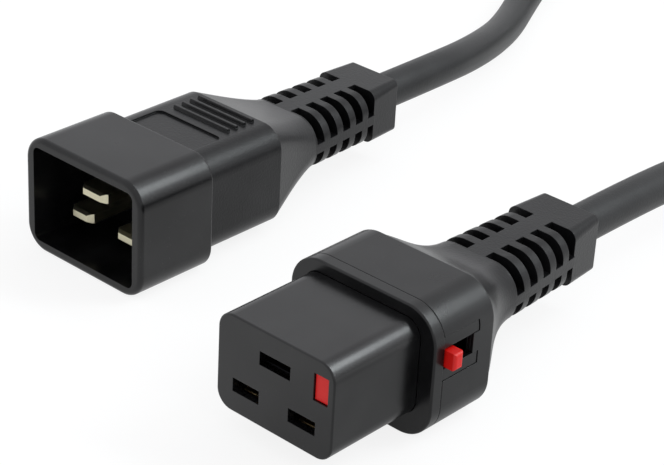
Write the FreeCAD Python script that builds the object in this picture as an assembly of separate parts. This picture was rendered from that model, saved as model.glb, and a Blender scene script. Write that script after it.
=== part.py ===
"""Locking C19 connector on its lead, with the C20 plug at the lead's other end.

Millimetres. The origin is the centre of the connector's mating face, +Y runs
towards the cable and +Z is up. The lead lies on the plane z = FLOOR.
"""
import FreeCAD, Part
import math
import os

V = FreeCAD.Vector

# ---- driving dimensions -------------------------------------------------
WIDTH = 35.8               # of the connector, from the collar's side to the button
LENGTH = 80.9              # of the connector, from the mating face to the cable's exit
CLEAR = 0.1                # play between two seated pieces, each side
SLIDE_CLEAR = 0.2          # play around a piece that slides

# connector nose
NOSE_W = 26.8
NOSE_H = 19.0
NOSE_R = 3.4
NOSE_WALL = 1.3
NOSE_LEN = 21.4            # mating face to the collar's front face
FACE_T = 1.6               # thickness of the mating face
FACE_EDGE = 0.35           # rounding of its outer edge
PIN_PITCH = 13.0           # line pin to neutral pin
PIN_RISE = 8.0             # earth pin above the line and neutral pins
SLOT_H = 2.7
SLOT_W = 6.2
EARTH_SLOT_W = 7.1

# collar
COLLAR_H = 25.7
COLLAR_R = 6.75
COLLAR_Z = -1.0            # the collar's middle lies below the nose's
COLLAR_WALL = 1.6
BEZEL_T = 2.6
COLLAR_LEN = 15.9          # front of the bezel to the rear rim
FLANGE_T = 1.2
BEZEL_EDGE = 0.4
SEAM = 0.18                # broken edges at the parting line
BOOT_STEP = 0.6            # the boot stands back from the rim all round
TONGUE = 2.8               # how far the boot reaches into the collar
COVER_LOW = -1.6
COVER_HIGH = 6.9
COVER_LEN = 9.1
COVER_END_GAP = 0.2        # behind the cover's arms
COVER_T = 1.2
TAB_T = 0.6                # the housing's tab between the cover's arms

# lock slide
BAR_X = 10.47
BAR_Z = 4.14
BAR_W = 3.1
BAR_H = 5.1
BAR_RECESS = 0.4
FINGER_L = 1.2
FINGER_H = 2.4
BUTTON_H = 3.3
BUTTON_L = 2.3
BUTTON_PROUD = 2.2
BUTTON_EDGE = 0.6
BUTTON_Z = 2.8
WINDOW_GAP = 0.4           # above and below the button
TRAVEL = 5.0
SPRING_WIRE = 0.5
SPRING_D = 3.4
SPRING_TURNS = 5

# contacts
CHAMBER_H = 4.4
CONTACT_W = 5.4
GRIP_T = 1.0               # the earth pin's grip plate
CRIMP_Y = 19.5             # where the cores start

# cable and its moulded strain relief
CABLE_D = 8.0
CORE_D = 2.3
NECK_LEN = 15.3            # front of the boot to its first row of slots
RELIEF_W = 20.4
RELIEF_END_W = 16.6
RELIEF_H = 12.0
RELIEF_R = 5.6
RELIEF_END_R = 3.9
BLOCK_W = 16.0
BLOCK_END_W = 13.9
BLOCK_R = 2.0
BLOCK_END_R = 1.3
ROWS = 5
ROW_PITCH = 4.35
ROW_GAP = 2.4
SIDE_WEB = 2.1
TOP_WEB = 4.2
JACKET_START = 3.0         # behind the front of the boot
CORE_ROOM = 2.4            # round the jacket where the cores spread
NECK_AT = [0.0, 0.2, 0.5, 0.78, 1.0]     # places along the neck
FLARE = [0.0, 0.26, 0.7, 0.93, 1.0]      # how far the connector's neck has narrowed there
TAPER = [0.0, 0.23, 0.56, 0.83, 1.0]     # and the plug's

# plug
PLUG_W = 32.8
PLUG_H = 24.5
PLUG_R = 5.2
CAVITY_GAP = 0.65          # around the connector's nose, each side
CAVITY_R = 1.5
SHROUD_LEN = 19.0
CAVITY_DEPTH = 17.4
BODY_W = 28.6
BODY_H = 21.6
BODY_R = 5.0
BODY_LEN = 20.9
PIN_T = 2.0
PIN_W = 6.0
EARTH_PIN_W = 7.0
PIN_TIP = 5.1              # mouth to the tips of the line and neutral pins
EARTH_TIP = 2.4            # mouth to the tip of the earth pin
RIDGES = 4
RIDGE_PITCH = 2.25
RIDGE_LEN = 15.2
RIDGE_T = 1.1
RIDGE_TOP = 0.5
RIDGE_H = 0.6
LABEL_W = 17.8
LABEL_LEN = 9.6
LABEL_DEEP = 0.4
LABEL_R = 1.5
CARRIER_W = 23.0
CARRIER_H = 16.0
CARRIER_R = 2.0
CARRIER_LEN = 7.0
BARREL_LEN = 4.5

# floor and the lead's lie
PLUG_X = -68.4
PLUG_Y = 18.0
TIE_T = 1.2
TIE_W = 12.0
COIL_X = -50.0
COIL_Y = 284.0
COIL_R = 48.0              # middle of the winding
COIL_ACROSS = 3            # turns side by side
COIL_HIGH = 2              # turns on top of each other
LEAD_IN = -10.0            # degrees round the coil where the lead comes in
LEAD_OUT = 180.0           # degrees round the coil where it goes out
STUB = 32.0                # tangent stretch beside the winding

# ---- worked out from the above -----------------------------------------
COLLAR_W = WIDTH - BUTTON_PROUD
BOOT_LEN = LENGTH - NOSE_LEN - COLLAR_LEN
COLLAR_FRONT = NOSE_LEN
FLOOR = COLLAR_Z - COLLAR_H / 2
PARTING = COLLAR_FRONT + BEZEL_T
COLLAR_REAR = COLLAR_FRONT + COLLAR_LEN
INNER_W = COLLAR_W - 2 * COLLAR_WALL
INNER_H = COLLAR_H - 2 * COLLAR_WALL
INNER_R = COLLAR_R - COLLAR_WALL
SIDE = COLLAR_W / 2
BUTTON_Y = PARTING + SLIDE_CLEAR
FINGER_Y = FACE_T + GRIP_T + CLEAR
JACKET_END = COLLAR_REAR + BOOT_LEN
CONTACTS = {"earth": (0.0, PIN_RISE / 2), "line": (-PIN_PITCH / 2, -PIN_RISE / 2),
            "neutral": (PIN_PITCH / 2, -PIN_RISE / 2)}
CORES = {"earth": (0.0, 1.9), "line": (-1.7, -1.1), "neutral": (1.7, -1.1)}
CABLE_R = CABLE_D / 2
PLUG_AT = V(PLUG_X, PLUG_Y, FLOOR + PLUG_H / 2)
COIL_AT = V(COIL_X, COIL_Y, 0)
COIL_OUT = COIL_R + (COIL_ACROSS - 1) * CABLE_R
LOW = FLOOR + CABLE_R
COIL_LOW = LOW + TIE_T


# ---- plain shapes --------------------------------------------------------
def box(x0, x1, y0, y1, z0, z1):
    """A block between two corners."""
    return Part.makeBox(x1 - x0, y1 - y0, z1 - z0, V(x0, y0, z0))


def round_wire(width, height, radius, y, z=0.0):
    """A rounded rectangle facing along Y, centred on x = 0."""
    a = width / 2
    b = height / 2
    r = min(radius, a - 0.05, b - 0.05)
    k = r * (1 - math.sqrt(0.5))
    edges = []
    corners = [(a, b), (-a, b), (-a, -b), (a, -b)]
    for i, (cx, cz) in enumerate(corners):
        sx = math.copysign(1, cx)
        sz = math.copysign(1, cz)
        side = V(cx, y, z + cz - sz * r)
        top = V(cx - sx * r, y, z + cz)
        mid = V(cx - sx * k, y, z + cz - sz * k)
        first, last = (side, top) if i % 2 == 0 else (top, side)
        edges.append(Part.Arc(first, mid, last).toShape())
        nx, nz = corners[(i + 1) % 4]
        nsx = math.copysign(1, nx)
        nsz = math.copysign(1, nz)
        if i % 2 == 0:
            after = V(nx - nsx * r, y, z + nz)
        else:
            after = V(nx, y, z + nz - nsz * r)
        edges.append(Part.LineSegment(last, after).toShape())
    return Part.Wire(edges)


def prism(width, height, radius, y0, y1, z=0.0):
    """A rounded rectangle drawn out along Y."""
    face = Part.Face(round_wire(width, height, radius, y0, z))
    return face.extrude(V(0, y1 - y0, 0))


def loft(sections):
    """A smooth body through rounded rectangles (width, height, radius, y, z)."""
    return Part.makeLoft([round_wire(*s) for s in sections], True, False)


def rod(radius, y0, y1, x=0.0, z=0.0):
    """A round bar along Y."""
    return Part.makeCylinder(radius, y1 - y0, V(x, y0, z), V(0, 1, 0))


def sheet(points, x0, x1):
    """A profile of (y, z) points drawn out along X."""
    wire = Part.makePolygon([V(x0, y, z) for y, z in points + points[:1]])
    return Part.Face(wire).extrude(V(x1 - x0, 0, 0))


def soften(shape, radius, wanted):
    """Rounds the edges that the test picks out."""
    edges = [e for e in shape.Edges if wanted(e)]
    return shape.makeFillet(radius, edges)


def lies_at(y):
    """A test for edges that lie in the plane at y."""
    def test(edge):
        span = edge.BoundBox
        return abs(span.YMin - y) < 1e-4 and abs(span.YMax - y) < 1e-4
    return test


def tube(points, radius):
    """A round tube along straight runs that tangent arcs join."""
    runs = [(b - a).Length for a, b in zip(points, points[1:])]
    edges = []
    start = points[0]
    bends = []
    for i in range(1, len(points) - 1):
        back = (points[i - 1] - points[i]).normalize()
        ahead = (points[i + 1] - points[i]).normalize()
        half = (math.pi - back.getAngle(ahead)) / 2
        cut = 0.45 * min(runs[i - 1], runs[i])
        bend = cut / math.tan(half)
        bends.append(round(bend, 1))
        first = points[i] + back * cut
        last = points[i] + ahead * cut
        inward = (back + ahead).normalize()
        middle = points[i] + inward * (bend / math.cos(half) - bend)
        edges.append(Part.LineSegment(start, first).toShape())
        edges.append(Part.Arc(first, middle, last).toShape())
        start = last
    edges.append(Part.LineSegment(start, points[-1]).toShape())
    path = Part.Wire(edges)
    circle = Part.Wire(Part.makeCircle(radius, points[0], points[1] - points[0]))
    solid = path.makePipeShell([circle], True, False)
    print("tube length %.1f radii %s volume ratio %.4f"
          % (path.Length, bends, solid.Volume / (path.Length * math.pi * radius ** 2)))
    return solid


# ---- connector -----------------------------------------------------------
def slot_width(name):
    """The width of a contact's slot in the mating face."""
    return EARTH_SLOT_W if name == "earth" else SLOT_W


def face_slot(name):
    """The slot that a pin goes through."""
    x, z = CONTACTS[name]
    half = slot_width(name) / 2
    return box(x - half, x + half, -1, FACE_T + 1, z - SLOT_H / 2, z + SLOT_H / 2)


def bar_room(y0, y1):
    """The channel of the lock slide's bar, open to the nose's side wall."""
    left = BAR_X - BAR_W / 2 - CLEAR
    return box(left, NOSE_W / 2 - NOSE_WALL, y0, y1,
               BAR_Z - BAR_H / 2 - CLEAR, BAR_Z + BAR_H / 2 + CLEAR)


def nose_shell():
    """The nose with its slotted mating face and the flange that the collar holds."""
    inner_w = NOSE_W - 2 * NOSE_WALL
    inner_h = NOSE_H - 2 * NOSE_WALL
    outer = prism(NOSE_W, NOSE_H, NOSE_R, 0, PARTING + FLANGE_T)
    outer = soften(outer, FACE_EDGE, lies_at(0))
    flange = prism(INNER_W - 2 * CLEAR, INNER_H - 2 * CLEAR, INNER_R,
                   PARTING, PARTING + FLANGE_T, COLLAR_Z)
    bore = prism(inner_w, inner_h, NOSE_R - NOSE_WALL, FACE_T, PARTING + FLANGE_T + 1)
    notch = box(inner_w / 2 - 1, SIDE, PARTING + CLEAR, PARTING + FLANGE_T + 1,
                BUTTON_Z - BUTTON_H / 2 - SLIDE_CLEAR, BUTTON_Z + BUTTON_H / 2 + SLIDE_CLEAR)
    shell = outer.fuse(flange).cut(bore).cut(notch).cut(bar_room(-1, FACE_T + 1))
    for name in CONTACTS:
        shell = shell.cut(face_slot(name))
    return shell.removeSplitter()


def chamber(name):
    """The room for one contact behind its slot."""
    x, z = CONTACTS[name]
    room = slot_width(name) + 1.2
    return box(x - room / 2, x + room / 2, FACE_T - 1, PARTING + 1,
               z - CHAMBER_H / 2, z + CHAMBER_H / 2)


def contact_block():
    """The insert that carries the contacts and guides the lock slide."""
    width = NOSE_W - 2 * NOSE_WALL - 2 * CLEAR
    height = NOSE_H - 2 * NOSE_WALL - 2 * CLEAR
    block = prism(width, height, NOSE_R - NOSE_WALL - CLEAR, FACE_T, PARTING)
    for name in CONTACTS:
        block = block.cut(chamber(name))
    finger = box(CONTACTS["earth"][0], BAR_X - BAR_W / 2 + 1, FINGER_Y - SLIDE_CLEAR,
                 FINGER_Y + FINGER_L + TRAVEL + SLIDE_CLEAR,
                 BAR_Z - FINGER_H / 2 - CLEAR, BAR_Z + FINGER_H / 2 + CLEAR)
    return block.cut(bar_room(0, PARTING + 1)).cut(finger)


def contact(name):
    """A folded spring contact with two bowed blades and a crimp barrel."""
    x, z = CONTACTS[name]
    half = CONTACT_W / 2
    foot = CHAMBER_H / 2
    start = 4.6 if name == "earth" else 2.4
    parts = []
    for side in (1, -1):
        plate = [(start, foot), (17.0, foot), (17.0, foot - 0.5), (start, foot - 0.5)]
        blade = [(start, foot - 0.4), (start + 7, 1.02), (start + 10, 1.02), (start + 11.5, 1.3),
                 (start + 11.5, 1.6), (start + 10, 1.4), (start + 7, 1.4), (start + 0.5, foot)]
        for points in (plate, blade):
            parts.append(sheet([(y, z + side * h) for y, h in points], x - half, x + half))
    rear = box(x - half, x + half, 16.5, 17.0, z - foot, z + foot)
    neck = rod(CORE_D / 2 + 0.5, 16.8, PARTING - 0.6, x, z)
    bore = rod(CORE_D / 2, CRIMP_Y - 0.5, PARTING, x, z)
    return parts[0].multiFuse(parts[1:] + [rear, neck]).cut(bore).removeSplitter()


def wire(name, y0, y1, rear_y):
    """One core of the cable, from its crimp to the end of the jacket."""
    x, z = CONTACTS[name]
    cx, cz = CORES[name]
    points = [V(x, y0, z), V(x, y1, z), V(cx, rear_y - 3.0, cz), V(cx, rear_y, cz)]
    return tube(points, CORE_D / 2)


def earth_grip_plate():
    """The steel plate that jams on the inlet's earth pin."""
    x, z = CONTACTS["earth"]
    half = (EARTH_SLOT_W + 1.2) / 2 - CLEAR
    plate = box(x - half, x + half, FACE_T, FACE_T + GRIP_T,
                z - CHAMBER_H / 2, z + CHAMBER_H / 2 - CLEAR)
    hole = box(x - 3.6, x + 3.6, 0, FACE_T + GRIP_T + 1, z - 1.15, z + 1.15)
    return plate.cut(hole)


def lock_slide():
    """The bar, its finger behind the grip plate and the button outside."""
    half = BAR_W / 2
    bar = box(BAR_X - half, BAR_X + half - CLEAR, BAR_RECESS, BUTTON_Y + BUTTON_L,
              BAR_Z - BAR_H / 2, BAR_Z + BAR_H / 2)
    x = CONTACTS["earth"][0] + CONTACT_W / 2 + 0.5
    finger = box(x, BAR_X - half + 1, FINGER_Y, FINGER_Y + FINGER_L,
                 BAR_Z - FINGER_H / 2, BAR_Z + FINGER_H / 2)
    end = SIDE + BUTTON_PROUD
    arm = box(BAR_X, end, BUTTON_Y, BUTTON_Y + BUTTON_L,
              BUTTON_Z - BUTTON_H / 2, BUTTON_Z + BUTTON_H / 2)
    arm = soften(arm, BUTTON_EDGE, lambda edge: edge.BoundBox.XMin > end - 0.01)
    return bar.fuse(finger).fuse(arm).removeSplitter()


def lock_spring():
    """The coil spring that pushes the slide forward."""
    start = BUTTON_Y + BUTTON_L + SPRING_WIRE / 2
    length = COLLAR_REAR - TONGUE - start - SPRING_WIRE / 2
    radius = (SPRING_D - SPRING_WIRE) / 2
    pitch = length / SPRING_TURNS
    helix = Part.makeHelix(pitch, length, radius)
    ahead = V(0, 2 * math.pi * radius, pitch)
    section = Part.Wire(Part.makeCircle(SPRING_WIRE / 2, V(radius, 0, 0), ahead))
    coil = Part.Wire(helix.Edges).makePipeShell([section], True, False)
    coil.rotate(V(0, 0, 0), V(1, 0, 0), -90)
    coil.translate(V(BAR_X, start, BAR_Z))
    return coil


def collar_bezel():
    """The front ring of the collar."""
    ring = prism(COLLAR_W, COLLAR_H, COLLAR_R, COLLAR_FRONT, PARTING, COLLAR_Z)
    ring = soften(ring, BEZEL_EDGE, lies_at(COLLAR_FRONT))
    ring = soften(ring, SEAM, lies_at(PARTING))
    hole = prism(NOSE_W + 2 * CLEAR, NOSE_H + 2 * CLEAR, NOSE_R + CLEAR,
                 COLLAR_FRONT - 1, PARTING + 1)
    return ring.cut(hole)


def window(play):
    """The opening that the button slides in."""
    rear = BUTTON_Y + BUTTON_L + TRAVEL + SLIDE_CLEAR
    half = BUTTON_H / 2 + WINDOW_GAP + play
    return box(SIDE - 3, SIDE + 1, PARTING - 1, rear + play, BUTTON_Z - half, BUTTON_Z + half)


def cover_room(play, behind):
    """The space of the slide cover, whose two arms join behind a tab of the housing."""
    room = box(SIDE - COVER_T - play, SIDE + 5, PARTING - 1, PARTING + COVER_LEN + behind,
               COVER_LOW - play, COVER_HIGH + play)
    rear = BUTTON_Y + BUTTON_L + TRAVEL + SLIDE_CLEAR
    half = BUTTON_H / 2 + WINDOW_GAP
    tab = box(SIDE - TAB_T + play, SIDE + 6, rear, COLLAR_REAR, BUTTON_Z - half + play,
              BUTTON_Z + half - play)
    return room.cut(tab)


def collar_housing():
    """The rear shell of the collar, with the opening for the slide."""
    shell = prism(COLLAR_W, COLLAR_H, COLLAR_R, PARTING, COLLAR_REAR, COLLAR_Z)
    shell = soften(shell, BEZEL_EDGE, lies_at(COLLAR_REAR))
    shell = soften(shell, SEAM, lies_at(PARTING))
    hollow = prism(INNER_W, INNER_H, INNER_R, PARTING - 1, COLLAR_REAR + 1, COLLAR_Z)
    return shell.cut(hollow).cut(window(0)).cut(cover_room(CLEAR, COVER_END_GAP))


def slide_cover():
    """The inset plate round the button's window."""
    shape = prism(COLLAR_W - 0.2, COLLAR_H - 0.2, COLLAR_R - 0.1,
                  PARTING, COLLAR_REAR, COLLAR_Z)
    return shape.common(cover_room(0, 0)).cut(window(0))


# ---- the moulded strain relief, the same on both ends --------------------
def slot_row(front, row):
    """The four corner slots of one row, down to the core."""
    y0 = front + NECK_LEN + row * ROW_PITCH
    y1 = y0 + ROW_GAP
    ring = box(-RELIEF_W, RELIEF_W, y0, y1, -RELIEF_H, RELIEF_H)
    core = prism(CABLE_D + 2.0, CABLE_D + 1.4, CABLE_R + 0.4, y0 - 1, y1 + 1)
    upright = box(-TOP_WEB / 2, TOP_WEB / 2, y0 - 1, y1 + 1, -RELIEF_H, RELIEF_H)
    across = box(-RELIEF_W, RELIEF_W, y0 - 1, y1 + 1, -SIDE_WEB / 2, SIDE_WEB / 2)
    return ring.cut(core).cut(upright).cut(across)


def relief(front, first, narrowing):
    """Neck, slotted ribs and end block behind a face of the given section."""
    width, height, radius, z = first
    neck_end = front + NECK_LEN - 0.4
    sections = []
    for u, s in zip(NECK_AT, narrowing):
        sections.append((width + (RELIEF_W - width) * s, height + (RELIEF_H - height) * s,
                         radius + (RELIEF_R - radius) * s, front + u * (neck_end - front),
                         z * (1 - s)))
    block_y = front + NECK_LEN + (ROWS - 1) * ROW_PITCH + ROW_GAP
    ribs = loft([(RELIEF_W, RELIEF_H, RELIEF_R, neck_end, 0),
                 (RELIEF_END_W, RELIEF_H, RELIEF_END_R, block_y, 0)])
    block = loft([(BLOCK_W, RELIEF_H, BLOCK_R, block_y, 0),
                  (BLOCK_END_W, RELIEF_H, BLOCK_END_R, front + BOOT_LEN, 0)])
    body = loft(sections).fuse(ribs).fuse(block)
    for row in range(ROWS):
        body = body.cut(slot_row(front, row))
    return body


def strain_relief_boot():
    """The boot that is moulded onto the cable behind the collar."""
    front = COLLAR_REAR
    rim = 2 * BOOT_STEP
    body = relief(front, (COLLAR_W - rim, COLLAR_H - rim, COLLAR_R - BOOT_STEP, COLLAR_Z), FLARE)
    plug = prism(INNER_W - 2 * CLEAR, INNER_H - 2 * CLEAR, INNER_R - CLEAR,
                 front - TONGUE, front + 0.1, COLLAR_Z)
    bore = rod(CABLE_R, front, front + BOOT_LEN + 1)
    room = rod(CABLE_R + CORE_ROOM, front - TONGUE - 1, front + JACKET_START - 1.5)
    return body.fuse(plug).cut(bore).cut(room).removeSplitter()


def cable_end(y0, y1):
    """The jacketed cable inside a moulding."""
    return rod(CABLE_R, y0, y1)


# ---- plug, built with its mouth at the origin ----------------------------
def pin_width(name):
    """The width of a pin's blade."""
    return EARTH_PIN_W if name == "earth" else PIN_W


def pin_holes(y0, y1):
    """Room for the three pins."""
    holes = []
    for name, (x, z) in CONTACTS.items():
        half = pin_width(name) / 2
        holes.append(box(x - half, x + half, y0, y1, z - PIN_T / 2, z + PIN_T / 2))
    return holes[0].multiFuse(holes[1:])


def plug_shroud():
    """The hard shroud round the pins, with its floor."""
    outer = prism(PLUG_W, PLUG_H, PLUG_R, 0, SHROUD_LEN)
    outer = soften(outer, 1.0, lies_at(0))
    outer = soften(outer, 0.5, lies_at(SHROUD_LEN))
    cavity = prism(NOSE_W + 2 * CAVITY_GAP, NOSE_H + 2 * CAVITY_GAP, CAVITY_R,
                   -1, CAVITY_DEPTH)
    return outer.cut(cavity).cut(pin_holes(CAVITY_DEPTH - 1, SHROUD_LEN + 1))


def plug_pin_carrier():
    """The block behind the floor that holds the pins."""
    block = prism(CARRIER_W, CARRIER_H, CARRIER_R, SHROUD_LEN, SHROUD_LEN + CARRIER_LEN)
    return block.cut(pin_holes(SHROUD_LEN - 1, SHROUD_LEN + CARRIER_LEN + 1))


def plug_pin(name):
    """A flat pin with a chamfered tip and a crimp barrel at its rear."""
    x, z = CONTACTS[name]
    half = pin_width(name) / 2
    tip = EARTH_TIP if name == "earth" else PIN_TIP
    rear = SHROUD_LEN + CARRIER_LEN + 1.0
    outline = [V(x - half, rear, 0), V(x - half, tip + 1.2, 0), V(x - half + 1.1, tip, 0),
               V(x + half - 1.1, tip, 0), V(x + half, tip + 1.2, 0), V(x + half, rear, 0)]
    face = Part.Face(Part.makePolygon(outline + outline[:1]))
    face.translate(V(0, 0, z - PIN_T / 2))
    blade = face.extrude(V(0, 0, PIN_T))
    slim = [(tip, z - PIN_T / 2 + 0.35), (tip, z + PIN_T / 2 - 0.35), (tip + 0.9, z + PIN_T / 2),
            (rear, z + PIN_T / 2), (rear, z - PIN_T / 2), (tip + 0.9, z - PIN_T / 2)]
    blade = blade.common(sheet(slim, x - half - 1, x + half + 1))
    barrel = rod(CORE_D / 2 + 0.5, rear - 0.5, rear + BARREL_LEN, x, z)
    bore = rod(CORE_D / 2, rear + 1.0, rear + BARREL_LEN + 1, x, z)
    return blade.fuse(barrel).cut(bore)


def plug_body():
    """The soft body moulded over the shroud's rear, and its strain relief."""
    front = SHROUD_LEN
    rear = front + BODY_LEN
    body = prism(BODY_W, BODY_H, BODY_R, front, rear)
    end = front + LABEL_LEN
    label = box(-LABEL_W / 2, LABEL_W / 2, front, end, BODY_H / 2 - LABEL_DEEP, BODY_H)
    label = soften(label, LABEL_R,
                   lambda edge: edge.BoundBox.ZLength > 0.1 and edge.BoundBox.YMin > end - 1)
    body = body.cut(label)
    for i in range(RIDGES):
        y = rear - 1.6 - i * RIDGE_PITCH
        z = BODY_H / 2
        ridge = sheet([(y - RIDGE_T / 2, z - 0.2), (y - RIDGE_TOP / 2, z + RIDGE_H),
                       (y + RIDGE_TOP / 2, z + RIDGE_H), (y + RIDGE_T / 2, z - 0.2)],
                      -RIDGE_LEN / 2, RIDGE_LEN / 2)
        body = body.fuse(ridge)
    body = body.fuse(relief(rear, (BODY_W, BODY_H, BODY_R, 0), TAPER))
    nest = prism(CARRIER_W + 2 * CLEAR, CARRIER_H + 2 * CLEAR, CARRIER_R + CLEAR,
                 front - 1, front + CARRIER_LEN)
    room = prism(CARRIER_W - 3.0, CARRIER_H - 2.6, CARRIER_R, front + CARRIER_LEN - 1, rear - 1.0)
    bore = rod(CABLE_R, rear - 2, rear + BOOT_LEN + 1)
    return body.cut(nest).cut(room).cut(bore).removeSplitter()


# ---- the lead ------------------------------------------------------------
def round_coil(degrees, radius, z):
    """A point on the winding."""
    a = math.radians(degrees)
    return V(COIL_AT.x + radius * math.cos(a), COIL_AT.y + radius * math.sin(a), z)


def along_coil(degrees):
    """The direction in which the winding runs at a place on it."""
    a = math.radians(degrees)
    return V(-math.sin(a), math.cos(a), 0)


def lead_points():
    """From the connector's block down to the floor and up to the coil."""
    heading = along_coil(LEAD_IN)
    end = round_coil(LEAD_IN, COIL_OUT, COIL_LOW) - heading * STUB
    y = JACKET_END
    return [V(0, y, 0), V(0, y + 22, 0), V(-0.4, y + 46, -1.8), V(-2.0, y + 71, -5.2),
            V(-4.2, y + 95, -8.6), V(-5.8, y + 117, LOW), end - heading * 24, end]


def tail_points():
    """From the coil down to the floor and along it to the plug's block."""
    heading = along_coil(LEAD_OUT)
    begin = round_coil(LEAD_OUT, COIL_OUT, COIL_LOW + CABLE_D) + heading * STUB
    exit_y = PLUG_AT.y + SHROUD_LEN + BODY_LEN + BOOT_LEN
    x = PLUG_AT.x
    return [begin, begin + heading * 22, V(-102.0, 209, -7.6), V(-93.0, 187, LOW),
            V(-82.0, exit_y + 64, -8.6), V(-73.0, exit_y + 41, -4.6), V(x, exit_y + 20, PLUG_AT.z),
            V(x, exit_y, PLUG_AT.z)]


def cord_coil():
    """The outer shape of the winding, with the tangent ends of the lead."""
    width = COIL_ACROSS * CABLE_D
    height = COIL_HIGH * CABLE_D
    low = COIL_LOW - CABLE_R
    inner = COIL_R - width / 2
    profile = [V(inner, 0, low), V(inner + width, 0, low), V(inner + width, 0, low + height),
               V(inner, 0, low + height)]
    face = Part.Face(Part.makePolygon(profile + profile[:1]))
    ring = face.revolve(V(0, 0, 0), V(0, 0, 1), 360)
    ring = ring.makeFillet(CABLE_R - 0.5, ring.Edges)
    ring.translate(V(COIL_AT.x, COIL_AT.y, 0))
    into = round_coil(LEAD_IN, COIL_OUT, COIL_LOW)
    start = into - along_coil(LEAD_IN) * STUB
    out = round_coil(LEAD_OUT, COIL_OUT, COIL_LOW + CABLE_D)
    first = Part.makeCylinder(CABLE_R - 0.05, STUB, start, along_coil(LEAD_IN))
    last = Part.makeCylinder(CABLE_R - 0.05, STUB, out, along_coil(LEAD_OUT))
    return ring.fuse(first).fuse(last)


def coil_tie():
    """The strap round the winding."""
    half = COIL_ACROSS * CABLE_R
    height = COIL_HIGH * CABLE_D
    x0 = COIL_AT.x - TIE_W / 2
    outer = box(x0, x0 + TIE_W, COIL_R - half - TIE_T - 0.8, COIL_R + half + TIE_T + 0.3,
                FLOOR, FLOOR + height + 2 * TIE_T + 0.1)
    hole = box(x0 - 1, x0 + TIE_W + 1, COIL_R - half - 0.8, COIL_R + half + 0.3,
               FLOOR + TIE_T, FLOOR + TIE_T + height + 0.1)
    strap = soften(outer, 2.4, lambda edge: edge.BoundBox.XLength > TIE_W - 0.01)
    strap = strap.cut(soften(hole, 1.6, lambda edge: edge.BoundBox.XLength > TIE_W - 0.01))
    strap.translate(V(0, COIL_AT.y, 0))
    return strap


# ---- everything ----------------------------------------------------------
def connector_pieces():
    """Everything of the connector."""
    pieces = {
        "nose_shell": nose_shell(),
        "contact_block": contact_block(),
        "earth_grip_plate": earth_grip_plate(),
        "lock_slide": lock_slide(),
        "lock_spring": lock_spring(),
        "collar_bezel": collar_bezel(),
        "collar_housing": collar_housing(),
        "slide_cover": slide_cover(),
        "strain_relief_boot": strain_relief_boot(),
        "cable_end": cable_end(COLLAR_REAR + JACKET_START, JACKET_END),
    }
    for name in CONTACTS:
        pieces[name + "_contact"] = contact(name)
        pieces[name + "_wire"] = wire(name, CRIMP_Y, PARTING + 2, COLLAR_REAR + JACKET_START)
    return pieces


def plug_pieces():
    """Everything of the plug, moved to where it lies."""
    rear = SHROUD_LEN + BODY_LEN
    pieces = {
        "plug_shroud": plug_shroud(),
        "plug_pin_carrier": plug_pin_carrier(),
        "plug_body": plug_body(),
        "plug_cable_end": cable_end(rear - 1.0, rear + BOOT_LEN),
    }
    for name in CONTACTS:
        pieces["plug_pin_" + name] = plug_pin(name)
        crimp = SHROUD_LEN + CARRIER_LEN + 2.5
        pieces["plug_wire_" + name] = wire(name, crimp, crimp + BARREL_LEN, rear - 1.0)
    for shape in pieces.values():
        shape.translate(PLUG_AT)
    return pieces


def lead_pieces():
    """The cord, its put-away length and the strap."""
    return {
        "cord_lead": tube(lead_points(), CABLE_R),
        "cord_coil": cord_coil(),
        "cord_tail": tube(tail_points(), CABLE_R),
        "coil_tie": coil_tie(),
    }


def main():
    os.makedirs("parts", exist_ok=True)
    pieces = {}
    pieces.update(connector_pieces())
    pieces.update(plug_pieces())
    pieces.update(lead_pieces())
    for name, shape in pieces.items():
        print("%-20s valid %s solids %d volume %.1f"
              % (name, shape.isValid(), len(shape.Solids), shape.Volume))
        shape.exportStep("parts/" + name + ".step")


main()
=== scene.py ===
"""Looks for the locking power connector, its lead and the plug at the other end."""

import math

import bpy
from mathutils import Matrix, Vector


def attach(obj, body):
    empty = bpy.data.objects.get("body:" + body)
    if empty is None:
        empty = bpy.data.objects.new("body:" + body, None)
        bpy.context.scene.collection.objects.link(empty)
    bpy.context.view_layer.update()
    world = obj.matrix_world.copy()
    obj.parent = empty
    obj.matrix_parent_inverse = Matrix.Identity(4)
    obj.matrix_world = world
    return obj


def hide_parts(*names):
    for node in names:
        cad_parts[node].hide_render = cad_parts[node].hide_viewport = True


bl_info = {
    "name": "Locking power connector lead",
    "version": (1, 0, 0),
    "blender": (4, 5, 0),
    "location": "View3D > Sidebar > Connector",
    "description": "Builds the finishes, the lead and the stage round the connector",
    "category": "Object",
}

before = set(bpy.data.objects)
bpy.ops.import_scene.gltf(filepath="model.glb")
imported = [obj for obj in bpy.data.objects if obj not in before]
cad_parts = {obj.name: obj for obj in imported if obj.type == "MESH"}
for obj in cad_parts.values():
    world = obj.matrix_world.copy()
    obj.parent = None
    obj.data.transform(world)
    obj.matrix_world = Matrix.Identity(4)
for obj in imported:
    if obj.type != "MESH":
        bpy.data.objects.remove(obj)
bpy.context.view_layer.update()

# Route of the lead in metres, from the connector to the coil and from the coil to the plug.
LEAD_OUT = [(0.0, 0.0809, 0.0), (0.0, 0.1029, 0.0), (-0.0004, 0.1269, -0.0018),
            (-0.002, 0.1519, -0.0052), (-0.0042, 0.1759, -0.0086), (-0.0058, 0.1979, -0.00985),
            (-0.004575, 0.219126, -0.00865), (-0.000408, 0.242762, -0.00865)]
LEAD_BACK = [(-0.106, 0.252, -0.00065), (-0.106, 0.23, -0.00065), (-0.102, 0.209, -0.0076),
             (-0.093, 0.187, -0.00985), (-0.082, 0.1655, -0.0086), (-0.073, 0.1425, -0.0046),
             (-0.0684, 0.1215, -0.0016), (-0.0684, 0.1015, -0.0016)]
COIL_MIDDLE = (-0.050, 0.284)
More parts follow.
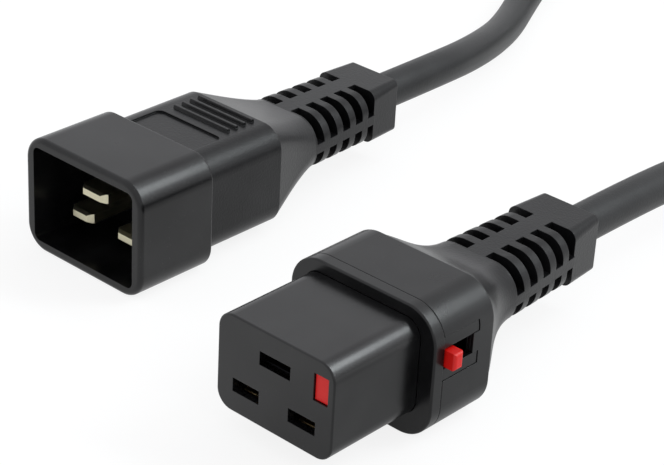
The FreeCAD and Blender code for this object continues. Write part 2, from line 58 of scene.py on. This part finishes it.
COIL_FIRST = -10.0         # degrees round the coil where the lead comes in
COIL_TURN = 1990.0         # degrees of winding up to where it goes out
COIL_RADII = (0.056, 0.048, 0.040)
COIL_LEVELS = (-0.00865, -0.00065)
# Each change of ring: the running angle in degrees, the ring it leaves and the ring it joins.
RING_CHANGES = ((275, 0, 1), (635, 1, 2), (1355, 2, 1), (1715, 1, 0))
RING_SPAN = 55             # degrees that a change of ring takes
LAYER_CHANGE = 905         # running angle at which the winding climbs to the upper layer
LAYER_SPAN = 80            # degrees that the climb takes

# Nodes that share a finish or a place.
NOSE_NODES = ("nose_shell", "contact_block")
COLLAR_NODES = ("collar_bezel", "collar_housing", "slide_cover")
SHROUD_NODES = ("plug_shroud", "plug_pin_carrier")
SOFT_NODES = ("strain_relief_boot", "plug_body")
JACKET_NODES = ("cable_end", "plug_cable_end")

# Hard plastics: name, nodes, change of the hard roughness, specular level.
HARD_PLASTICS = (("nose_plastic", NOSE_NODES, -0.03, 0.46),
                 ("collar_plastic", COLLAR_NODES, 0.0, 0.375),
                 ("shroud_plastic", SHROUD_NODES, -0.02, 0.37))
PLASTIC_GLOSS = 0.5        # specular level of a plastic that names none
SOFT_GLOSS = 0.28
JACKET_GLOSS = 0.36
RED_GLOSS = 0.35

# Metals: colour and roughness.
NICKEL_PLATE = ((0.58, 0.55, 0.40), 0.30)
CONTACT_BRASS = ((0.62, 0.47, 0.24), 0.28)
SPRING_STEEL = ((0.55, 0.55, 0.56), 0.35)
# The grip plate's near-black colour is painted shade: it darkens the inside of the earth slot,
# where shade falls.
GRIP_PLATE_SHADE = ((0.02, 0.02, 0.022), 0.5)

EARTH_GREEN = (0.10, 0.30, 0.03)
EARTH_YELLOW = (0.75, 0.62, 0.03)
LINE_BROWN = (0.13, 0.045, 0.015)
NEUTRAL_BLUE = (0.01, 0.05, 0.35)
STRAP_BLACK = (0.02, 0.02, 0.022)
STRIPES = 120.0            # scale of the earth core's stripes

# Moulded skin.
EDGE_ROUNDING = 0.00015    # metres by which shading softens a sharp edge
EDGE_SAMPLES = 6
CLOUD_RANGE = (0.4, 0.7)   # noise levels between which a cloudy patch fades in
CLOUD_GAIN = 1.1
CLOUD_LIFT = 0.006
SPECK_COLOUR = (0.22, 0.22, 0.2)
SPECK_REACH = 0.09         # size of a speck as a share of its cell
SPECK_PATCHES = 60.0       # scale of the patches in which specks gather

# Floor and world.
FLOOR_Z = -0.01385
FLOOR_DROP = 0.00005       # metres between the lowest solid and the floor
FLOOR_HALF = 3.0
FLOOR_COLOUR = (0.88, 0.88, 0.88)
FLOOR_ROUGHNESS = 0.9
FLOOR_GLOSS = 0.1
FLOOR_WHITE = 1.06         # strength of the floor's plain white
FLOOR_PAINTED_SHADE = 0.5            # its strength in the shells' reflections beside the connector, painted shade for the connector's shadow on the floor
FLOOR_SEEN = 0.8           # share of plain white where the camera sees the floor
FLOOR_MIRRORED = 0.6       # share of plain white where a surface mirrors it
PAINTED_SHADE_FROM_X = (-0.02, 0.03)     # across the connector, where the painted shade starts and is full
PAINTED_SHADE_UNTIL_Y = (0.085, 0.055)   # along it, where the painted shade ends and is still full
SKY_COLOUR = (0.97, 0.975, 1.0)
SKY_WHITE = 1.0            # strength of the sky where it is seen or mirrored

# Lamps: name, direction, width in metres, power in watts.
LAMPS = (("streak_box", (0.44, 0.59, 0.68), 0.36, 1.3),
         ("glow_box", (0.46, 0.59, 0.66), 1.1, 2.2))
LAMP_DISTANCE = 0.8
LAMP_HEIGHT = 0.13
LAMP_COLOUR = (0.92, 0.98, 1.0)


class ConnectorFinish(bpy.types.PropertyGroup):
    """Colours and surface of the connector, the plug and the lead."""
    hard_black: bpy.props.FloatVectorProperty(
        name="Hard plastic", description="Colour of the nose, collar and shroud",
        subtype="COLOR", size=3, min=0, max=1, default=(0.002, 0.002, 0.0024))
    soft_black: bpy.props.FloatVectorProperty(
        name="Soft moulding", description="Colour of the boot and the plug's body",
        subtype="COLOR", size=3, min=0, max=1, default=(0.003, 0.003, 0.0036))
    jacket: bpy.props.FloatVectorProperty(
        name="Cable jacket", description="Colour of the cable",
        subtype="COLOR", size=3, min=0, max=1, default=(0.006, 0.0065, 0.007))
    release_red: bpy.props.FloatVectorProperty(
        name="Release red", description="Colour of the lock slide and its button",
        subtype="COLOR", size=3, min=0, max=1, default=(0.62, 0.004, 0.002))
    hard_roughness: bpy.props.FloatProperty(
        name="Hard roughness", description="Roughness of the hard plastic",
        subtype="FACTOR", min=0, max=1, default=0.28)
    soft_roughness: bpy.props.FloatProperty(
        name="Soft roughness", description="Roughness of the soft mouldings",
        subtype="FACTOR", min=0, max=1, default=0.30)


class LeadSizes(bpy.types.PropertyGroup):
    """Sizes of the lead."""
    diameter: bpy.props.FloatProperty(
        name="Cable diameter", description="Outer diameter of the cable",
        unit="LENGTH", subtype="DISTANCE", min=0.005, max=0.012, default=0.008)
    length: bpy.props.FloatProperty(
        name="Cable length", description="Length of cable between the two ends",
        unit="LENGTH", subtype="DISTANCE", min=0.5, max=3.0, default=2.0)
    points_per_turn: bpy.props.IntProperty(
        name="Points per turn", description="Route points on each turn of the coil",
        min=12, max=36, default=18)


class StageSettings(bpy.types.PropertyGroup):
    """Camera and light."""
    azimuth: bpy.props.FloatProperty(
        name="Azimuth", description="Camera's turn round the connector",
        unit="ROTATION", subtype="ANGLE", default=math.radians(41.14))
    elevation: bpy.props.FloatProperty(
        name="Elevation", description="Camera's height angle",
        unit="ROTATION", subtype="ANGLE", default=math.radians(28.36))
    roll: bpy.props.FloatProperty(
        name="Roll", description="Camera's lean",
        unit="ROTATION", subtype="ANGLE", default=math.radians(3.21))
    distance: bpy.props.FloatProperty(
        name="Distance", description="From the camera to what it looks at",
        unit="LENGTH", subtype="DISTANCE", min=0.05, max=5, default=0.3599)
    aim_right: bpy.props.FloatProperty(
        name="Aim right", description="How far right of the origin the camera looks",
        unit="LENGTH", subtype="DISTANCE", default=0.00824)
    aim_up: bpy.props.FloatProperty(
        name="Aim up", description="How far above the origin the camera looks",
        unit="LENGTH", subtype="DISTANCE", default=0.02621)
    lens: bpy.props.FloatProperty(
        name="Lens", description="Focal length",
        unit="CAMERA", min=20, max=300, default=116.8)
    sky: bpy.props.FloatProperty(
        name="Sky", description="Strength of the even light all round",
        min=0, max=2, default=0.75)


# ---- material helpers ------------------------------------------------------
def add_node(tree, kind, where=(0, 0), **values):
    """Adds a node and sets its own properties."""
    node = tree.nodes.new(kind)
    node.location = where
    for key, value in values.items():
        setattr(node, key, value)
    return node


def new_group(name, inputs, outputs):
    """A shader node group with named float sockets."""
    tree = bpy.data.node_groups.new(name, "ShaderNodeTree")
    for label, default in inputs:
        socket = tree.interface.new_socket(label, in_out="INPUT", socket_type="NodeSocketFloat")
        socket.default_value = default
    for label in outputs:
        tree.interface.new_socket(label, in_out="OUTPUT", socket_type="NodeSocketFloat")
    return (tree, add_node(tree, "NodeGroupInput", (-900, 0)),
            add_node(tree, "NodeGroupOutput", (500, 0)))


def group_moulded_skin():
    """Fine grain of a moulded surface, with cloudy patches in its gloss."""
    tree, given, out = new_group(
        "moulded_skin",
        [("Grain per metre", 6000.0), ("Patches per metre", 90.0),
         ("Roughness", 0.4), ("Roughness spread", 0.08)],
        ["Roughness", "Height", "Clouds"])
    link = tree.links.new
    place = add_node(tree, "ShaderNodeTexCoord", (-900, 300))
    grain = add_node(tree, "ShaderNodeTexNoise", (-600, 200))
    grain.inputs["Detail"].default_value = 2.0
    patches = add_node(tree, "ShaderNodeTexNoise", (-600, -100))
    patches.inputs["Detail"].default_value = 3.0
    centred = add_node(tree, "ShaderNodeMath", (-350, -100), operation="SUBTRACT")
    centred.inputs[1].default_value = 0.5
    spread = add_node(tree, "ShaderNodeMath", (-150, -100), operation="MULTIPLY")
    total = add_node(tree, "ShaderNodeMath", (100, -50), operation="ADD", use_clamp=True)
    link(place.outputs["Object"], grain.inputs["Vector"])
    link(place.outputs["Object"], patches.inputs["Vector"])
    link(given.outputs["Grain per metre"], grain.inputs["Scale"])
    link(given.outputs["Patches per metre"], patches.inputs["Scale"])
    link(patches.outputs["Fac"], centred.inputs[0])
    link(centred.outputs[0], spread.inputs[0])
    link(given.outputs["Roughness spread"], spread.inputs[1])
    link(spread.outputs[0], total.inputs[0])
    link(given.outputs["Roughness"], total.inputs[1])
    clouds = add_node(tree, "ShaderNodeMapRange", (-150, -350))
    clouds.inputs["From Min"].default_value = CLOUD_RANGE[0]
    clouds.inputs["From Max"].default_value = CLOUD_RANGE[1]
    link(patches.outputs["Fac"], clouds.inputs["Value"])
    link(total.outputs[0], out.inputs["Roughness"])
    link(grain.outputs["Fac"], out.inputs["Height"])
    link(clouds.outputs[0], out.inputs["Clouds"])
    return tree


def group_fine_dust():
    """A mask of sparse specks."""
    tree, given, out = new_group(
        "fine_dust", [("Specks per metre", 900.0), ("Amount", 0.2)], ["Mask"])
    link = tree.links.new
    place = add_node(tree, "ShaderNodeTexCoord", (-900, 300))
    cells = add_node(tree, "ShaderNodeTexVoronoi", (-600, 100))
    near = add_node(tree, "ShaderNodeMath", (-350, 100), operation="LESS_THAN")
    near.inputs[1].default_value = SPECK_REACH
    where = add_node(tree, "ShaderNodeTexNoise", (-600, -200))
    where.inputs["Scale"].default_value = SPECK_PATCHES
    some = add_node(tree, "ShaderNodeMath", (-150, 0), operation="MULTIPLY")
    amount = add_node(tree, "ShaderNodeMath", (100, 0), operation="MULTIPLY", use_clamp=True)
    link(place.outputs["Object"], cells.inputs["Vector"])
    link(place.outputs["Object"], where.inputs["Vector"])
    link(given.outputs["Specks per metre"], cells.inputs["Scale"])
    link(cells.outputs["Distance"], near.inputs[0])
    link(near.outputs[0], some.inputs[0])
    link(where.outputs["Fac"], some.inputs[1])
    link(some.outputs[0], amount.inputs[0])
    link(given.outputs["Amount"], amount.inputs[1])
    link(amount.outputs[0], out.inputs["Mask"])
    return tree


def shared_group(name, maker):
    """The node group of that name, made once."""
    return bpy.data.node_groups.get(name) or maker()


def moulded_material(name, colour, roughness, spread, grain, depth, dust=0.15,
                     gloss=PLASTIC_GLOSS):
    """A moulded plastic with skin grain, cloudy patches, soft edges and a little dust.

    grain is in bumps per metre, depth is their height in metres, spread is how far the
    roughness wanders, and gloss is the specular level.
    """
    material = bpy.data.materials.new(name)
    material.use_nodes = True
    tree = material.node_tree
    shader = tree.nodes["Principled BSDF"]
    link = tree.links.new
    skin = add_node(tree, "ShaderNodeGroup", (-600, -100),
                    node_tree=shared_group("moulded_skin", group_moulded_skin))
    skin.inputs["Grain per metre"].default_value = grain
    skin.inputs["Roughness"].default_value = roughness
    skin.inputs["Roughness spread"].default_value = spread
    specks = add_node(tree, "ShaderNodeGroup", (-600, 250),
                      node_tree=shared_group("fine_dust", group_fine_dust))
    specks.inputs["Amount"].default_value = dust
    cloudy = add_node(tree, "ShaderNodeMix", (-500, 450), data_type="RGBA")
    cloudy.inputs["A"].default_value = (*colour, 1)
    cloudy.inputs["B"].default_value = (*[c * CLOUD_GAIN + CLOUD_LIFT for c in colour], 1)
    blend = add_node(tree, "ShaderNodeMix", (-300, 250), data_type="RGBA")
    blend.inputs["B"].default_value = (*SPECK_COLOUR, 1)
    shader.inputs["Specular IOR Level"].default_value = gloss
    edge = add_node(tree, "ShaderNodeBevel", (-500, -400), samples=EDGE_SAMPLES)
    edge.inputs["Radius"].default_value = EDGE_ROUNDING
    bump = add_node(tree, "ShaderNodeBump", (-300, -250))
    bump.inputs["Strength"].default_value = 1.0
    bump.inputs["Distance"].default_value = depth
    link(skin.outputs["Clouds"], cloudy.inputs["Factor"])
    link(cloudy.outputs["Result"], blend.inputs["A"])
    link(specks.outputs["Mask"], blend.inputs["Factor"])
    link(blend.outputs["Result"], shader.inputs["Base Color"])
    link(skin.outputs["Roughness"], shader.inputs["Roughness"])
    link(skin.outputs["Height"], bump.inputs["Height"])
    link(edge.outputs["Normal"], bump.inputs["Normal"])
    link(bump.outputs["Normal"], shader.inputs["Normal"])
    return material


def metal_material(name, colour, roughness):
    """A plated or plain metal with a fine grain in its surface."""
    material = moulded_material(name, colour, roughness, spread=0.12, grain=4000,
                                depth=0.000004, dust=0.0)
    shader = material.node_tree.nodes["Principled BSDF"]
    shader.inputs["Metallic"].default_value = 1.0
    return material


def core_material(name, colour, stripe=None):
    """A core's insulation; the earth core has a second colour in stripes."""
    material = moulded_material(name, colour, roughness=0.4, spread=0.05, grain=5000,
                                depth=0.00001, dust=0.0)
    if stripe:
        tree = material.node_tree
        shader = tree.nodes["Principled BSDF"]
        place = add_node(tree, "ShaderNodeTexCoord", (-900, 500))
        wave = add_node(tree, "ShaderNodeTexWave", (-700, 500), bands_direction="DIAGONAL")
        wave.inputs["Scale"].default_value = STRIPES
        ramp = add_node(tree, "ShaderNodeValToRGB", (-500, 500))
        ramp.color_ramp.interpolation = "CONSTANT"
        ramp.color_ramp.elements[0].color = (*colour, 1)
        ramp.color_ramp.elements[1].color = (*stripe, 1)
        ramp.color_ramp.elements[1].position = 0.5
        tree.links.new(place.outputs["Object"], wave.inputs["Vector"])
        tree.links.new(wave.outputs["Fac"], ramp.inputs["Fac"])
        tree.links.new(ramp.outputs["Color"], shader.inputs["Base Color"])
    return material


def dress(node, material):
    """Gives a CAD node its finish."""
    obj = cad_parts[node]
    obj.data.materials.clear()
    obj.data.materials.append(material)


# ---- lead ------------------------------------------------------------------
def eased(x):
    """A soft start and end between 0 and 1."""
    x = min(max(x, 0.0), 1.0)
    return x * x * (3 - 2 * x)


def coil_radius_and_height(angle):
    """Radius and height of the winding at a running angle in degrees."""
    low, high = COIL_LEVELS
    radius = COIL_RADII[0]
    for start, left, joined in RING_CHANGES:
        change = COIL_RADII[joined] - COIL_RADII[left]
        radius += change * eased((angle - start) / RING_SPAN)
    return radius, low + (high - low) * eased((angle - LAYER_CHANGE) / LAYER_SPAN)


def coil_points(per_turn):
    """Control points of the winding, from where the lead comes in to where it goes out."""
    count = round(COIL_TURN * per_turn / 360)
    step = COIL_TURN / count
    outward = 1 / math.cos(math.radians(step / 2))
    points = []
    for i in range(count):
        angle = COIL_FIRST + (i + 0.5) * step
        radius, height = coil_radius_and_height(angle)
        a = math.radians(angle)
        points.append((COIL_MIDDLE[0] + radius * outward * math.cos(a),
                       COIL_MIDDLE[1] + radius * outward * math.sin(a), height))
    return points


def nurbs_cord(name, points, radius):
    """A smooth round cord with the given control points."""
    curve = bpy.data.curves.new(name, "CURVE")
    curve.dimensions = "3D"
    curve.bevel_depth = radius
    curve.bevel_resolution = 6
    curve.use_fill_caps = True
    spline = curve.splines.new("NURBS")
    spline.points.add(len(points) - 1)
    for place, point in zip(spline.points, points):
        place.co = (*point, 1)
    spline.order_u = 3
    spline.use_endpoint_u = True
    spline.resolution_u = 8
    cord = bpy.data.objects.new(name, curve)
    bpy.context.scene.collection.objects.link(cord)
    return cord


class CONNECTOR_OT_lead(bpy.types.Operator):
    """Makes the cable from the connector through its coil to the plug"""
    bl_idname = "connector.lead"
    bl_label = "Lead"

    def execute(self, context):
        sizes = context.scene.lead_sizes
        finish = context.scene.connector_finish
        points = LEAD_OUT + coil_points(sizes.points_per_turn) + LEAD_BACK
        cord = nurbs_cord("lead", points, sizes.diameter / 2)
        jacket = moulded_material("cable_jacket", finish.jacket, roughness=0.42, spread=0.1,
                                  grain=2500, depth=0.00006, gloss=JACKET_GLOSS)
        cord.data.materials.append(jacket)
        for node in JACKET_NODES:
            dress(node, jacket)
        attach(cord, "connector")
        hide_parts("cord_lead", "cord_coil", "cord_tail")
        return {"FINISHED"}


class CONNECTOR_OT_hard_shells(bpy.types.Operator):
    """Finishes the nose, collar, slide cover and the plug's shroud"""
    bl_idname = "connector.hard_shells"
    bl_label = "Hard shells"

    def execute(self, context):
        finish = context.scene.connector_finish
        for name, nodes, change, gloss in HARD_PLASTICS:
            shell = moulded_material(name, finish.hard_black, finish.hard_roughness + change,
                                     spread=0.06, grain=5000, depth=0.000006, gloss=gloss)
            for node in nodes:
                dress(node, shell)
        return {"FINISHED"}


class CONNECTOR_OT_soft_mouldings(bpy.types.Operator):
    """Finishes the boot and the plug's body"""
    bl_idname = "connector.soft_mouldings"
    bl_label = "Soft mouldings"

    def execute(self, context):
        finish = context.scene.connector_finish
        soft = moulded_material("soft_black_pvc", finish.soft_black, finish.soft_roughness,
                                spread=0.08, grain=2200, depth=0.00004, gloss=SOFT_GLOSS)
        for node in SOFT_NODES:
            dress(node, soft)
        return {"FINISHED"}


class CONNECTOR_OT_lock_slide(bpy.types.Operator):
    """Finishes the red lock slide"""
    bl_idname = "connector.lock_slide"
    bl_label = "Lock slide"

    def execute(self, context):
        finish = context.scene.connector_finish
        red = moulded_material("release_red", finish.release_red, roughness=0.38, spread=0.05,
                               grain=5000, depth=0.00001, dust=0.05, gloss=RED_GLOSS)
        dress("lock_slide", red)
        return {"FINISHED"}


class CONNECTOR_OT_metal_parts(bpy.types.Operator):
    """Finishes the pins, contacts, grip plate and spring"""
    bl_idname = "connector.metal_parts"
    bl_label = "Metal parts"

    def execute(self, context):
        nickel = metal_material("nickel_plate", *NICKEL_PLATE)
        brass = metal_material("contact_brass", *CONTACT_BRASS)
        steel = metal_material("spring_steel", *SPRING_STEEL)
        grip_shade = metal_material("grip_plate_shade", *GRIP_PLATE_SHADE)
        for name in ("earth", "line", "neutral"):
            dress("plug_pin_" + name, nickel)
            dress(name + "_contact", brass)
        dress("lock_spring", steel)
        # Painted shade: the grip plate is coloured near black so that the earth slot's inside
        # reads dark.
        dress("earth_grip_plate", grip_shade)
        return {"FINISHED"}


class CONNECTOR_OT_cores(bpy.types.Operator):
    """Finishes the cable's cores at both ends"""
    bl_idname = "connector.cores"
    bl_label = "Cores"

    def execute(self, context):
        finishes = {
            "earth": core_material("earth_core", EARTH_GREEN, EARTH_YELLOW),
            "line": core_material("line_core", LINE_BROWN),
            "neutral": core_material("neutral_core", NEUTRAL_BLUE),
        }
        for name, material in finishes.items():
            dress(name + "_wire", material)
            dress("plug_wire_" + name, material)
        return {"FINISHED"}


class CONNECTOR_OT_coil_tie(bpy.types.Operator):
    """Finishes the strap round the coil"""
    bl_idname = "connector.coil_tie"
    bl_label = "Coil tie"

    def execute(self, context):
        strap = moulded_material("strap_weave", STRAP_BLACK, roughness=0.85, spread=0.1,
                                 grain=1800, depth=0.0002, dust=0.3)
        dress("coil_tie", strap)
        return {"FINISHED"}


# ---- stage -----------------------------------------------------------------
def make_world(sky):
    """Even light all round that is plain white where it is seen or mirrored."""
    world = bpy.data.worlds.new("studio")
    bpy.context.scene.world = world
    world.use_nodes = True
    tree = world.node_tree
    tree.nodes.clear()
    link = tree.links.new
    path = add_node(tree, "ShaderNodeLightPath", (-600, 200))
    either = add_node(tree, "ShaderNodeMath", (-400, 200), operation="MAXIMUM")
    any_of = add_node(tree, "ShaderNodeMath", (-200, 200), operation="MAXIMUM")
    level = add_node(tree, "ShaderNodeMapRange", (0, 200))
    level.inputs["To Min"].default_value = sky
    level.inputs["To Max"].default_value = SKY_WHITE
    light = add_node(tree, "ShaderNodeBackground", (200, 0))
    light.inputs["Color"].default_value = (*SKY_COLOUR, 1)
    out = add_node(tree, "ShaderNodeOutputWorld", (400, 0))
    link(path.outputs["Is Camera Ray"], either.inputs[0])
    link(path.outputs["Is Glossy Ray"], either.inputs[1])
    link(either.outputs[0], any_of.inputs[0])
    link(path.outputs["Is Transmission Ray"], any_of.inputs[1])
    link(any_of.outputs[0], level.inputs["Value"])
    link(level.outputs[0], light.inputs["Strength"])
    link(light.outputs[0], out.inputs[0])


def make_floor():
    """A large pale floor that is nearly white to the camera and keeps a soft shadow.

    Mirrored in the shells it is dimmer beside the connector's front half: painted shade that
    stands in for the connector's shadow on the floor there.
    """
    mesh = bpy.data.meshes.new("floor")
    half = FLOOR_HALF
    z = FLOOR_Z - FLOOR_DROP
    mesh.from_pydata([(-half, -half, z), (half, -half, z), (half, half, z), (-half, half, z)],
                     [], [(0, 1, 2, 3)])
    floor = bpy.data.objects.new("floor", mesh)
    bpy.context.scene.collection.objects.link(floor)
    material = bpy.data.materials.new("pale_floor")
    material.use_nodes = True
    tree = material.node_tree
    shader = tree.nodes["Principled BSDF"]
    shader.inputs["Base Color"].default_value = (*FLOOR_COLOUR, 1)
    shader.inputs["Roughness"].default_value = FLOOR_ROUGHNESS
    shader.inputs["Specular IOR Level"].default_value = FLOOR_GLOSS
    path = add_node(tree, "ShaderNodeLightPath", (-600, 400))
    seen = add_node(tree, "ShaderNodeMath", (-400, 500), operation="MULTIPLY")
    seen.inputs[1].default_value = FLOOR_SEEN
    mirrored = add_node(tree, "ShaderNodeMath", (-400, 300), operation="MULTIPLY")
    mirrored.inputs[1].default_value = FLOOR_MIRRORED
    share = add_node(tree, "ShaderNodeMath", (-200, 400), operation="MAXIMUM")
    place = add_node(tree, "ShaderNodeTexCoord", (-1000, 100))
    across = add_node(tree, "ShaderNodeSeparateXYZ", (-800, 100))
    # Painted shade: the floor's mirrored white falls off beside the connector's front half,
    # where the connector's shadow lies on the floor.
    beside = add_node(tree, "ShaderNodeMapRange", (-600, 200))
    beside.inputs["From Min"].default_value = PAINTED_SHADE_FROM_X[0]
    beside.inputs["From Max"].default_value = PAINTED_SHADE_FROM_X[1]
    before = add_node(tree, "ShaderNodeMapRange", (-600, -100))
    before.inputs["From Min"].default_value = PAINTED_SHADE_UNTIL_Y[0]
    before.inputs["From Max"].default_value = PAINTED_SHADE_UNTIL_Y[1]
    both = add_node(tree, "ShaderNodeMath", (-500, 50), operation="MULTIPLY")
    painted_shade_level = add_node(tree, "ShaderNodeMapRange", (-450, 50))
    painted_shade_level.inputs["To Min"].default_value = FLOOR_WHITE
    painted_shade_level.inputs["To Max"].default_value = FLOOR_PAINTED_SHADE
    level = add_node(tree, "ShaderNodeMix", (-400, 100), data_type="FLOAT")
    level.inputs["B"].default_value = FLOOR_WHITE
    white = add_node(tree, "ShaderNodeEmission", (-200, 100))
    mix = add_node(tree, "ShaderNodeMixShader", (100, 200))
    link = tree.links.new
    link(place.outputs["Object"], across.inputs[0])
    link(across.outputs["X"], beside.inputs["Value"])
    link(across.outputs["Y"], before.inputs["Value"])
    link(beside.outputs[0], both.inputs[0])
    link(before.outputs[0], both.inputs[1])
    link(both.outputs[0], painted_shade_level.inputs["Value"])
    link(path.outputs["Is Camera Ray"], level.inputs["Factor"])
    link(painted_shade_level.outputs[0], level.inputs["A"])
    link(level.outputs["Result"], white.inputs["Strength"])
    link(path.outputs["Is Camera Ray"], seen.inputs[0])
    link(path.outputs["Is Glossy Ray"], mirrored.inputs[0])
    link(seen.outputs[0], share.inputs[0])
    link(mirrored.outputs[0], share.inputs[1])
    link(share.outputs[0], mix.inputs[0])
    link(shader.outputs[0], mix.inputs[1])
    link(white.outputs[0], mix.inputs[2])
    link(mix.outputs[0], tree.nodes["Material Output"].inputs["Surface"])
    mesh.materials.append(material)


def camera_axes(stage):
    """Right, up and back directions of the camera, and where it stands."""
    a = stage.azimuth
    e = stage.elevation
    back = Vector((math.sin(a) * math.cos(e), -math.cos(a) * math.cos(e), math.sin(e)))
    right = Vector((math.cos(a), math.sin(a), 0))
    up = back.cross(right)
    aim = right * stage.aim_right + up * stage.aim_up
    c = math.cos(stage.roll)
    s = math.sin(stage.roll)
    return c * right + s * up, c * up - s * right, back, aim + back * stage.distance


def make_camera(stage):
    """The camera before the mating face on the button's side, looking down."""
    right, up, back, place = camera_axes(stage)
    data = bpy.data.cameras.new("camera")
    data.lens = stage.lens
    data.sensor_width = 36.0
    data.clip_start = 0.01
    camera = bpy.data.objects.new("camera", data)
    bpy.context.scene.collection.objects.link(camera)
    camera.matrix_world = Matrix((
        (right.x, up.x, back.x, place.x), (right.y, up.y, back.y, place.y),
        (right.z, up.z, back.z, place.z), (0, 0, 0, 1)))
    bpy.context.scene.camera = camera


def softbox(name, direction, width, power):
    """A rectangular lamp that faces the connector, its short side in line with it."""
    data = bpy.data.lights.new(name, "AREA")
    data.shape = "RECTANGLE"
    data.size = width
    data.size_y = LAMP_HEIGHT
    data.energy = power
    data.color = LAMP_COLOUR
    lamp = bpy.data.objects.new(name, data)
    bpy.context.scene.collection.objects.link(lamp)
    way = Vector(direction).normalized()
    along = Vector((0, 1, 0))
    along = (along - way * along.dot(way)).normalized()
    across = along.cross(way)
    lamp.rotation_euler = Matrix((across, along, way)).transposed().to_euler()
    lamp.location = way * LAMP_DISTANCE


class CONNECTOR_OT_stage(bpy.types.Operator):
    """Makes the camera, the floor and the lights"""
    bl_idname = "connector.stage"
    bl_label = "Stage"

    def execute(self, context):
        stage = context.scene.stage_settings
        make_camera(stage)
        make_world(stage.sky)
        make_floor()
        for lamp in LAMPS:
            softbox(*lamp)
        context.scene.view_settings.view_transform = "Standard"
        return {"FINISHED"}


class CONNECTOR_PT_panel(bpy.types.Panel):
    """Lists the steps and the settings"""
    bl_idname = "CONNECTOR_PT_panel"
    bl_label = "Connector"
    bl_space_type = "VIEW_3D"
    bl_region_type = "UI"
    bl_category = "Connector"

    def draw(self, context):
        """Draws each setting, then a button for each step."""
        for group in ("connector_finish", "lead_sizes", "stage_settings"):
            settings = getattr(context.scene, group)
            for key in type(settings).__annotations__:
                self.layout.prop(settings, key)
        for step in STEPS:
            self.layout.operator(step.bl_idname)


STEPS = (CONNECTOR_OT_stage, CONNECTOR_OT_lead, CONNECTOR_OT_hard_shells,
         CONNECTOR_OT_soft_mouldings, CONNECTOR_OT_lock_slide, CONNECTOR_OT_metal_parts,
         CONNECTOR_OT_cores, CONNECTOR_OT_coil_tie)
CLASSES = (ConnectorFinish, LeadSizes, StageSettings, CONNECTOR_PT_panel) + STEPS


def register():
    """Adds the settings, the panel and the steps to Blender."""
    for cls in CLASSES:
        bpy.utils.register_class(cls)
    bpy.types.Scene.connector_finish = bpy.props.PointerProperty(type=ConnectorFinish)
    bpy.types.Scene.lead_sizes = bpy.props.PointerProperty(type=LeadSizes)
    bpy.types.Scene.stage_settings = bpy.props.PointerProperty(type=StageSettings)


def unregister():
    """Takes them out again."""
    del bpy.types.Scene.connector_finish
    del bpy.types.Scene.lead_sizes
    del bpy.types.Scene.stage_settings
    for cls in reversed(CLASSES):
        bpy.utils.unregister_class(cls)


def main():
    """Runs every step in order."""
    register()
    for step in STEPS:
        family, name = step.bl_idname.split(".")
        getattr(getattr(bpy.ops, family), name)()


if __name__ == "__main__":
    main()
